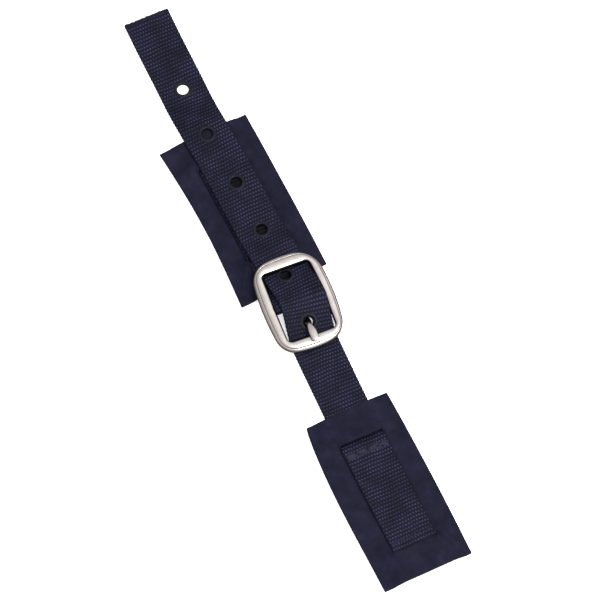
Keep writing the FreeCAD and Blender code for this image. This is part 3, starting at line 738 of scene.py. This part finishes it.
def patch(name, corners, bulges, slits, line, seed, lift, folds, tuck=0.0):
    """A sheet with two slits. It lies over the webbing at its margins and under it between the
    slits, and settles to the floor away from the strap. corners go round from the near +y one.
    lift raises the slits' lips, and tuck is how far the near edge reaches on under the webbing."""
    near_top, near_low, far_low, far_top = corners
    n, m = PATCH_GRID
    u = np.linspace(0, 1, n)
    v = np.linspace(0, 1, m)
    low_x, low_y = bulged(near_low, far_low, *bulges["low"], u)
    top_x, top_y = bulged(near_top, far_top, *bulges["top"], u)
    near_x, near_y = bulged(near_low, near_top, *bulges["near"], v)
    far_x, far_y = bulged(far_low, far_top, *bulges["far"], v)
    grids = []
    for low, top, near, far in ((low_x, top_x, near_x, far_x), (low_y, top_y, near_y, far_y)):
        ruled = low[:, None] * (1 - v) + top[:, None] * v
        across = near[None, :] * (1 - u[:, None]) + far[None, :] * u[:, None]
        corner = (near[0] * (1 - u[:, None]) * (1 - v) + far[0] * u[:, None] * (1 - v)
                  + near[-1] * (1 - u[:, None]) * v + far[-1] * u[:, None] * v)
        grids.append(ruled + across - corner)
    x, y = grids
    t = y - through(line, x)
    x = x - tuck * smooth_step(11.0, 7.5, np.abs(t)) * smooth_step(0.08, 0.0, u)[:, None]
    side = x - lean_at(x) * y
    ends = np.abs(t)
    over = smooth_step(22.5, 13.5, ends)
    margin = np.maximum(smooth_step(slits[0] + 3.5, slits[0] - 4.0, side),
                        smooth_step(slits[1] - 3.5, slits[1] + 4.0, side))
    inside_strap = ends < WEB_WIDTH / 2 + 0.5
    past_slits = (side < slits[0] + 0.2) | (side > slits[1] - 0.2)
    margin = np.where(inside_strap, past_slits, margin)
    z = PATCH_FLOOR + (PATCH_ON_WEB - PATCH_FLOOR) * over * margin
    slit_line = np.minimum(np.abs(side - slits[0]), np.abs(side - slits[1]))
    z += lift * smooth_step(9.0, 0.0, slit_line) * margin * smooth_step(16.0, 12.0, ends)
    roll = value_noise(x.shape, (5, 4), seed)
    rim = smooth_step(0.82, 1.0, np.maximum(np.abs(2 * u[:, None] - 1), np.abs(2 * v[None, :] - 1)))
    z += 0.35 * (roll + 0.4) * (0.35 + rim) * smooth_step(14.0, 20.0, ends)
    z = np.maximum(z, PATCH_FLOOR)
    z += creases(x, y, folds) * smooth_step(12.0, 15.0, ends)
    middle = place(x, y, z)
    centre = lambda grid: (grid[:-1, :-1] + grid[1:, 1:]) / 2
    keep = ~((centre(slit_line) < SLIT_HALF_GAP) & (centre(ends) < WEB_WIDTH / 2 - 0.5))
    normal = np.where((slit_line < 2.0)[..., None], (0.0, 0.0, 1.0), grid_normals(middle))
    # about how far a point is from the sheet's rim, in mm
    from_rim = np.minimum(np.minimum(u, 1 - u)[:, None] * 100, np.minimum(v, 1 - v)[None, :] * 50)
    half = SHEET_THICK / 2 * (1 - 0.45 * smooth_step(0.7, 0.0, from_rim))
    out = (half * MM)[..., None]
    # dark holds the cut edge's darker band and the painted shade below each eyelet's hole
    dark = np.maximum(smooth_step(0.55, 0.0, from_rim), shade_under_eyelets(x, y))
    cloth = np.stack([x, y, np.ones_like(x)], axis=-1)
    return slab(name, middle + normal * out, middle - normal * out, keep, dark, cloth)


UPPER_PATCH = ((-112.8, 23.1), (-111.2, -28.4), (-11.8, -27.8), (-15.4, 23.9))
LOWER_PATCH = ((65.9, 19.8), (66.3, -27.4), (169.4, -31.3), (169.0, 19.8))

# Faint creases where the sheet is pulled: by the buckle, at the slits and at a corner.
UPPER_FOLDS = [
    ((-33.0, -15.0), (-17.0, -25.0), 0.35, 0.8),
    ((-30.0, -14.0), (-14.0, -20.0), 0.30, 0.7),
    ((-96.0, -16.0), (-84.0, -26.0), 0.30, 1.2),
    ((-60.0, -27.0), (-40.0, -19.0), 0.25, 1.6),
    ((-104.0, 20.0), (-88.0, 14.0), 0.25, 1.1),
    ((-52.0, 22.0), (-30.0, 15.0), 0.25, 1.5),
]
LOWER_FOLDS = [
    ((84.0, 10.0), (100.0, 18.0), 0.40, 1.3),
    ((85.0, 12.0), (72.0, 18.0), 0.25, 1.2),
    ((85.0, -18.0), (74.0, -25.0), 0.35, 1.1),
    ((86.0, -19.0), (97.0, -28.0), 0.25, 1.3),
    ((152.0, -17.0), (163.0, -27.0), 0.35, 1.4),
    ((154.0, 7.0), (166.0, 15.0), 0.30, 1.3),
    ((112.0, 19.0), (132.0, 12.0), 0.20, 1.8),
]

upper_patch = patch("patch_upper", UPPER_PATCH,
                    {"low": (2.4, 0.48), "top": (0.3, 0.5), "near": (0.3, 0.5), "far": (-0.2, 0.5)},
                    UPPER_SLITS, UPPER_STRAP_LINE, 5, 0.5, UPPER_FOLDS, tuck=2.6)
finish_piece(upper_patch, PATCH, "upper_end", ("upper_patch",))
lower_patch = patch("patch_lower", LOWER_PATCH,
                    {"low": (-2.2, 0.35), "top": (0.7, 0.42), "near": (-0.3, 0.5), "far": (-0.1, 0.6)},
                    LOWER_SLITS, STRAP_LINE, 9, 0.9, LOWER_FOLDS)
finish_piece(lower_patch, PATCH, "lower_end", ("lower_patch",))

# ---- buckle

FRAME_HEIGHT = 6.8
FRAME_TILT = math.radians(7.0)
BAR_DROP = 0.5                 # the bar's middle is this far below the frame's
BAR_HALF = [(12, 1.5), (14.4, 1.5), (15.6, 1.5), (16.6, 1.3), (16.9, 0.9)]   # radius at each y


def frame_quarter(half_length, half_width, end_bow, rail_bow, leg):
    """A quarter of the frame's outline, from the middle of the end to the middle of the rail."""
    steps = 24
    corner = np.array([half_length - end_bow, half_width - rail_bow])
    end_y = corner[1] - leg
    rail_x = corner[0] - leg
    end = lambda y: np.array([half_length - end_bow * (y / corner[1]) ** 2, y])
    rail = lambda x: np.array([x, half_width - rail_bow * (x / corner[0]) ** 2])
    first = end(end_y)
    last = rail(rail_x)
    d1 = np.array([-2 * end_bow * end_y / corner[1] ** 2, 1.0])
    d2 = np.array([1.0, -2 * rail_bow * rail_x / corner[0] ** 2])
    k = np.linalg.solve(np.stack([d1, -d2], 1), last - first)
    tip = first + d1 * k[0]
    a = (tip - first) / np.linalg.norm(tip - first)
    b = (last - tip) / np.linalg.norm(last - tip)
    weight = math.cos(math.acos(float(np.clip(a @ b, -1, 1))) / 2)
    quarter = [end(y) for y in np.linspace(0, end_y, steps, endpoint=False)]
    for t in np.linspace(0, 1, 14, endpoint=False):
        quarter.append(conic(first, tip, last, weight, t))
    quarter += [rail(x) for x in np.linspace(rail_x, 0, steps, endpoint=False)]
    quarter.append(rail(0.0))
    return np.array(quarter)


def frame_loop(front_top, back_top, back_low, front_low):
    """A closed outline from its four quarters, each sized by itself because the casting is uneven."""
    first = frame_quarter(*front_top)
    second = frame_quarter(*back_top) * [-1, 1]
    third = frame_quarter(*back_low) * [-1, -1]
    fourth = frame_quarter(*front_low) * [1, -1]
    return np.concatenate([first[:-1], second[::-1][:-1], third[:-1], fourth[::-1][:-1]])


def frame_section():
    """The section of the frame as (share from window to outside, height in mm, painted shade): a wall
    that leans into the window, painted near-black as shade, a crowned face, a fine groove painted dark
    as a line of shaded reflection, and a sloping outer side and an underside painted darker. The third
    column also makes the nickel a little rougher."""
    top = [(-0.10, -0.9, 1.5), (-0.10, 0.0, 1.5), (-0.075, 0.65, 1.5), (-0.02, 1.10, 1.5),
           (0.035, 1.34, 1.2), (0.075, 1.47, 0.4), (0.12, 1.55, 0.1), (0.20, 1.63, 0),
           (0.32, 1.70, 0), (0.44, 1.66, 0), (0.54, 1.54, 0),
           (0.62, 1.38, 0.1), (0.66, 1.22, 0.9), (0.685, 1.02, 1.35), (0.705, 1.08, 0.9),
           (0.73, 1.10, 0.25), (0.80, 0.92, 0.25), (0.88, 0.58, 0.35), (0.945, 0.16, 0.45),
           (0.985, -0.30, 0.5), (1.0, -0.75, 0.6)]
    under = [(0.975, -1.18, 1), (0.90, -1.52, 1), (0.78, -1.68, 1), (0.6, -1.7, 1), (0.4, -1.7, 1),
             (0.22, -1.68, 1), (0.04, -1.52, 1.2), (-0.06, -1.22, 1.4)]
    return top + under


def frame_matrix():
    yaw = Matrix.Rotation(YAW, 4, "Z")
    tilt = Matrix.Rotation(FRAME_TILT, 4, "Y")
    return Matrix.Translation((ORIGIN.x, ORIGIN.y, FRAME_HEIGHT * MM)) @ yaw @ tilt


def turns(count):
    """Angles evenly round a circle."""
    return np.linspace(0, 2 * math.pi, count, endpoint=False)


def squared_circle(angle, power):
    """A point of a circle that is the squarer, the lower the power."""
    c, s = math.cos(angle), math.sin(angle)
    return math.copysign(abs(c) ** power, c), math.copysign(abs(s) ** power, s)


def joined(name, parts):
    """One piece from several (points, faces) meshes."""
    points = []
    faces = []
    for part_points, part_faces in parts:
        base = len(points)
        points += [tuple(p) for p in part_points]
        faces += [tuple(base + i for i in face) for face in part_faces]
    return new_piece(name, points, faces)


def tube(rings, loop=False):
    """The mesh of rings of points skinned one after another, closed at its ends or into a loop."""
    count = len(rings)
    size = len(rings[0])
    points = [p for ring in rings for p in ring]
    faces = []
    for i in range(count if loop else count - 1):
        for j in range(size):
            k = (j + 1) % size
            n = (i + 1) % count
            faces.append((i * size + j, i * size + k, n * size + k, n * size + j))
    if not loop:
        faces.append(tuple(range(size))[::-1])
        faces.append(tuple((count - 1) * size + j for j in range(size)))
    return points, faces


def buckle_frame():
    # each quarter's half length, half width, the bows of its end and rail, and its corner
    outer = frame_loop((27.5, 19.7, 3.3, 2.4, 8.8), (27.0, 19.6, 3.3, 2.7, 10.8),
                       (27.0, 20.4, 2.4, 2.4, 9.0), (27.5, 20.35, 2.3, 2.4, 8.4))
    inner = frame_loop((20.8, 14.3, 0.2, 0.3, 2.6), (19.8, 14.3, 0.0, 1.3, 2.6),
                       (19.8, 14.1, 0.0, 0.0, 2.4), (20.8, 14.1, 0.2, 0.3, 2.9))
    section = frame_section()
    rings = []
    for o, i in zip(outer, inner):
        rings.append([((i[0] + (o[0] - i[0]) * u) * MM, (i[1] + (o[1] - i[1]) * u) * MM, h * MM)
                      for u, h, _ in section])
    parts = [tube(rings, loop=True)]
    stations = [(-y, radius) for y, radius in BAR_HALF[::-1]] + BAR_HALF
    parts.append(tube([[(radius * math.cos(a) * MM, y * MM, (radius * math.sin(a) - BAR_DROP) * MM)
                        for a in turns(24)] for y, radius in stations]))
    # the section's painted shade for each point of the loop; the bar gets none
    shade_and_roughness = [dark_shade for _, _, dark_shade in section] * len(rings)
    piece = joined("buckle_frame_nickel", parts)
    set_attribute(piece, "shade_and_roughness", "FLOAT", shade_and_roughness + [0.0] * (len(piece.data.vertices) - len(shade_and_roughness)))
    piece.data.transform(frame_matrix())
    finish_piece(piece, NICKEL_FRAME, "buckle", ("buckle_frame",))


TONGUE_YAW = math.radians(-3.5)
TONGUE_REACH = 25.4
TONGUE_HALF_THICK = 1.1
TIP_LENGTH = 2.2               # the tip is rounded over this length
EYE = (2.215, 0.515, 1.5)      # the ring round the bar: radius, half thickness, half width


def buckle_tongue():
    """A flat-sided wire tongue: a ring round the bar, a low neck, and a wider rounded tip."""
    # side positions and heights from the bar's middle
    line = [(1.3, -1.75), (4.0, -2.6), (6.8, -3.15), (9.6, -2.95), (12.2, -1.6), (14.6, -0.05),
            (17.0, 0.80), (19.5, 1.02), (22.0, 0.85), (24.2, 0.55), (TONGUE_REACH, 0.42)]
    curve = np.array(line)
    knots = np.arange(len(line), dtype=float)
    fine = np.linspace(0, len(line) - 1, 90)
    x = through(list(zip(knots, curve[:, 0])), fine)
    z = through(list(zip(knots, curve[:, 1])), fine)
    turn = lambda px, py, pz: (ORIGIN.x + (px * math.cos(TONGUE_YAW) - py * math.sin(TONGUE_YAW)) * MM,
                               ORIGIN.y + (px * math.sin(TONGUE_YAW) + py * math.cos(TONGUE_YAW)) * MM,
                               (BAR_HEIGHT + pz) * MM)
    rings = []
    dark_shade = []
    for i in range(len(fine)):
        back = max(i - 1, 0)
        ahead = min(i + 1, len(fine) - 1)
        dx = x[ahead] - x[back]
        dz = z[ahead] - z[back]
        norm = math.hypot(dx, dz)
        in_hole = float(smooth_step(6.5, 9.0, x[i]) * smooth_step(14.4, 12.8, x[i]))
        half_width = 1.5 + 0.6 * in_hole + 0.7 * float(smooth_step(14.0, 20.0, x[i]))
        near_tip = max(0.0, 1 - (TONGUE_REACH - x[i]) / TIP_LENGTH)
        taper = max(math.sqrt(max(0.0, 1 - near_tip ** 2)), 0.02)
        start = max(0.35, min(1.0, 0.35 + (x[i] - line[0][0]) / 1.2))
        half_width *= taper * start
        half_thick = TONGUE_HALF_THICK * (0.25 + 0.75 * taper) * start
        rings.append([turn(x[i] - dz / norm * half_thick * s, half_width * c,
                           z[i] + dx / norm * half_thick * s)
                      for c, s in (squared_circle(a, 0.8) for a in turns(28))])
        # painted shade: the neck is painted near-black where it goes into the eyelet's hole
        dark_shade += [1.45 * in_hole] * 28
    parts = [tube(rings)]
    radius, eye_half_thick, eye_half_width = EYE
    section = [(radius + eye_half_thick * c, eye_half_width * s)
               for c, s in (squared_circle(b, 0.6) for b in turns(16))]
    parts.append(tube([[turn(r * math.cos(a), y, r * math.sin(a)) for r, y in section]
                       for a in turns(40)], loop=True))
    piece = joined("buckle_tongue_nickel", parts)
    # the ring round the bar is painted a little darker and rougher
    set_attribute(piece, "shade_and_roughness", "FLOAT", dark_shade + [0.3] * (len(piece.data.vertices) - len(dark_shade)))
    finish_piece(piece, NICKEL_TONGUE, "tongue", ("buckle_tongue",))


buckle_frame()
buckle_tongue()

# ---- eyelets

def revolved(profile, matrix):
    """A closed ring from a closed (radius, height) profile turned about its axis."""
    rings = []
    for a in turns(56):
        rings.append([tuple(matrix @ Vector((r * math.cos(a) * MM, r * math.sin(a) * MM, h * MM)))
                      for r, h in profile])
    return tube(rings, loop=True)


def eyelet_matrix(number):
    """The eyelet's place on the billet, tilted with it."""
    x, t = (np.float64(value) for value in eyelet_spot(number))
    px, py, pz = billet_point(x, t)
    hx, hy, hz = billet_point(x + 0.4, t)
    along = Vector((hx - px, hy - py, hz - pz)).normalized()
    across = Vector((LEAN, 1.0, 0.0)).normalized()
    up = along.cross(across).normalized()
    across = up.cross(along).normalized()
    turn = Matrix((along, across, up)).transposed().to_4x4()
    return Matrix.Translation(Vector(place(px, py, pz))) @ turn


def eyelet_profile():
    """The rolled rim and barrel."""
    half = WEB_THICK / 2
    points = [(EYELET_BORE, -half), (EYELET_BORE, -0.2), (EYELET_BORE, half - 0.25)]
    centre = (EYELET_BORE + 0.86, half - 0.20)
    for a in np.linspace(180, 20, 13):
        r = math.radians(a)
        points.append((centre[0] + 0.86 * math.cos(r), centre[1] + 0.55 * math.sin(r)))
    points += [(EYELET_RIM - 0.20, half + 0.02), (EYELET_RIM, half - 0.12),
               (EYELET_RIM - 0.02, half - 0.32), (EYELET_BARREL + 0.3, half - 0.35),
               (EYELET_BARREL, half - 0.5), (EYELET_BARREL, -half)]
    return points


def washer_profile(bore):
    low = -WEB_THICK / 2
    return [(EYELET_BARREL - 0.15, low + 0.38), (EYELET_RIM - 0.1, low + 0.38), (EYELET_RIM, low + 0.2),
            (EYELET_RIM - 0.15, low + 0.03), (4.35, low), (3.95, low), (EYELET_BARREL, low + 0.03),
            (bore + 0.05, low + 0.12), (bore + 0.02, low + 0.3)]


for number in range(1, 7):
    matrix = eyelet_matrix(number)
    body = "free_end" if number == 1 else "buckle"
    rim = joined(f"eyelet_rim_{number}", [revolved(eyelet_profile(), matrix)])
    finish_piece(rim, EYELET, body, (f"eyelet_{number}",))
    bore = EYELET_BORE if number < 6 else PRESSED_BORE
    washer = joined(f"eyelet_back_{number}", [revolved(washer_profile(bore), matrix)])
    finish_piece(washer, EYELET, body, (f"eyelet_washer_{number}",))

# ---- seams

def stitch_row(surface, x, start, end, length, radius, seed, lift):
    """Thread stitches in a row across the webbing at x, each dipping into it at its ends."""
    draw = np.random.default_rng(seed)
    parts = []
    vectors = []
    y = start
    while y < end - 0.3:
        this = min(length * draw.uniform(0.75, 1.2), end - y)
        shift = draw.uniform(-0.08, 0.08)
        size = radius * draw.uniform(0.9, 1.08)
        rings = []
        for k in range(9):
            f = k / 8
            swell = math.sin(math.pi * f) ** 0.35 if 0 < f < 1 else 0.0
            at = y + this * f * 0.97
            px, py, pz = surface(x + shift + 0.06 * math.sin(7 * at), at)
            r = size * (0.45 + 0.55 * swell)
            height = pz + lift + size * (0.9 * swell - 0.5)
            rings.append([tuple(place(px + r * math.cos(a), py, height + r * math.sin(a)))
                          for a in turns(10)])
            vectors += [(at, a, 1.0) for a in turns(10)]
        parts.append(tube(rings))
        y += this
    return parts, vectors


def seam(name, node, body, surface, rows, half, length, radius, seed, lifts):
    """One piece of the rows of stitches at some side positions, each raised by its lift."""
    parts = []
    vectors = []
    for index, (x, lift) in enumerate(zip(rows, lifts)):
        more, more_vectors = stitch_row(surface, x, -half, half, length, radius, seed + index, lift)
        parts += more
        vectors += more_vectors
    piece = joined(name, parts)
    set_attribute(piece, "cloth", "FLOAT_VECTOR", vectors)
    finish_piece(piece, THREAD, body, (node,))


def on_billet(x, t):
    px, py, pz = billet_point(np.float64(x), np.float64(t))
    return px, py, pz + WEB_THICK / 2


def on_upper(height):
    def surface(x, t):
        y = through(UPPER_STRAP_LINE, np.float64(x)) + t
        return x + LEAN * t, y, height + WEB_THICK / 2
    return surface


seam("tack_lower_patch", "lower_patch_tack", "lower_end", on_billet,
     [91.4, 92.0, 92.6, 93.2, 93.8], 12.2, 6.3, 0.40, 61, [0.0, 0.15, 0.22, 0.15, 0.0])
seam("stitch_lower_patch_end", "lower_patch_end_stitch", "lower_end", on_billet,
     [147.5], 12.0, 2.8, 0.32, 71, [0.0])
for name, node, x, height, seed in [
        ("stitch_fold_near", "fold_stitch_near", -18.5, TAIL_ON_PATCH, 81),
        ("stitch_fold_far", "fold_stitch_far", -27.0, TAIL_ON_PATCH, 82),
        ("stitch_upper_patch_end", "upper_patch_end_stitch", -86.0, WEB_ON_PATCH, 83)]:
    seam(name, node, "upper_end", on_upper(height), [x], 12.0, 2.8, 0.25, seed, [0.0])

# ---- studio

AZIMUTH = math.radians(64.2)
ELEVATION = math.radians(65.5)
CAMERA_DISTANCE = 14.0
VIEW_SPAN = 0.3180             # how much of the object's plane the picture's side covers
FLOOR_RADIUS = 30
FLOOR_HEIGHT = -0.0002         # just below the weave


def camera():
    view = Vector((-math.sin(AZIMUTH) * math.cos(ELEVATION), math.cos(AZIMUTH) * math.cos(ELEVATION),
                   -math.sin(ELEVATION)))
    right = Vector((math.cos(AZIMUTH), math.sin(AZIMUTH), 0))
    up = right.cross(view)
    target = ORIGIN + right * 0.00067 + up * 0.00329
    data = bpy.data.cameras.new("camera")
    data.sensor_width = 36.0
    data.lens = data.sensor_width * CAMERA_DISTANCE / VIEW_SPAN
    data.clip_start = 0.1
    data.clip_end = 50
    made = bpy.data.objects.new("camera", data)
    made.location = target - view * CAMERA_DISTANCE
    made.rotation_mode = "QUATERNION"
    made.rotation_quaternion = view.to_track_quat("-Z", "Y")
    bpy.context.scene.collection.objects.link(made)
    bpy.context.scene.camera = made


def area_light(name, location, size, power, colour=(1, 1, 1), mirrored=True):
    data = bpy.data.lights.new(name, "AREA")
    data.shape = "DISK"
    data.size = size
    data.energy = power
    data.color = colour
    made = bpy.data.objects.new(name, data)
    made.location = location
    made.rotation_mode = "QUATERNION"
    made.rotation_quaternion = (-Vector(location)).to_track_quat("-Z", "Y")
    made.visible_glossy = mirrored
    bpy.context.scene.collection.objects.link(made)


# The studio is brightest overhead and towards BRIGHT_SIDE, and dim near the floor.
BRIGHT_SIDE = (0.45, 0.45, 0.77)
SKY = [(0.0, (0.56, 0.54, 0.535)), (0.45, (0.66, 0.645, 0.64)), (0.85, (1.05, 1.05, 1.05))]
HORIZON = [(0.0, (0.34, 0.325, 0.32)), (0.12, (0.60, 0.59, 0.585)), (0.35, (1.0, 1.0, 1.0))]


def studio():
    rim = [(FLOOR_RADIUS * math.cos(a), FLOOR_RADIUS * math.sin(a), 0.0) for a in turns(48)]
    floor = new_piece("studio_floor", rim, [tuple(range(48))])
    floor.data.materials.append(floor_material())
    floor.location.z = FLOOR_HEIGHT
    floor.visible_glossy = False
    world = bpy.data.worlds.new("studio")
    world.use_nodes = True
    nodes = world.node_tree.nodes
    links = world.node_tree.links
    direction = nodes.new("ShaderNodeTexCoord").outputs["Generated"]
    split = nodes.new("ShaderNodeSeparateXYZ")
    links.new(direction, split.inputs[0])
    lobe = nodes.new("ShaderNodeVectorMath")
    lobe.operation = "DOT_PRODUCT"
    lobe.inputs[1].default_value = BRIGHT_SIDE
    links.new(direction, lobe.inputs[0])
    both = nodes.new("ShaderNodeMix")
    both.data_type = "RGBA"
    both.blend_type = "MULTIPLY"
    both.inputs[0].default_value = 1.0
    for factor, stops, socket in ((lobe.outputs["Value"], SKY, 6), (split.outputs["Z"], HORIZON, 7)):
        ramp = nodes.new("ShaderNodeValToRGB")
        ramp.color_ramp.elements.new(0.5)
        for element, (position, colour) in zip(ramp.color_ramp.elements, stops):
            element.position = position
            element.color = (*colour, 1)
        links.new(factor, ramp.inputs["Fac"])
        links.new(ramp.outputs["Color"], both.inputs[socket])
    links.new(both.outputs[2], nodes["Background"].inputs["Color"])
    nodes["Background"].inputs["Strength"].default_value = 1.45
    bpy.context.scene.world = world
    area_light("key", (0.7, 0.5, 1.6), 0.9, 34.0, (1.0, 0.985, 0.96))
    area_light("fill", (-0.6, -1.2, 1.3), 1.2, 14.0, mirrored=False)


studio()
camera()
bpy.context.scene.view_settings.view_transform = "Standard"
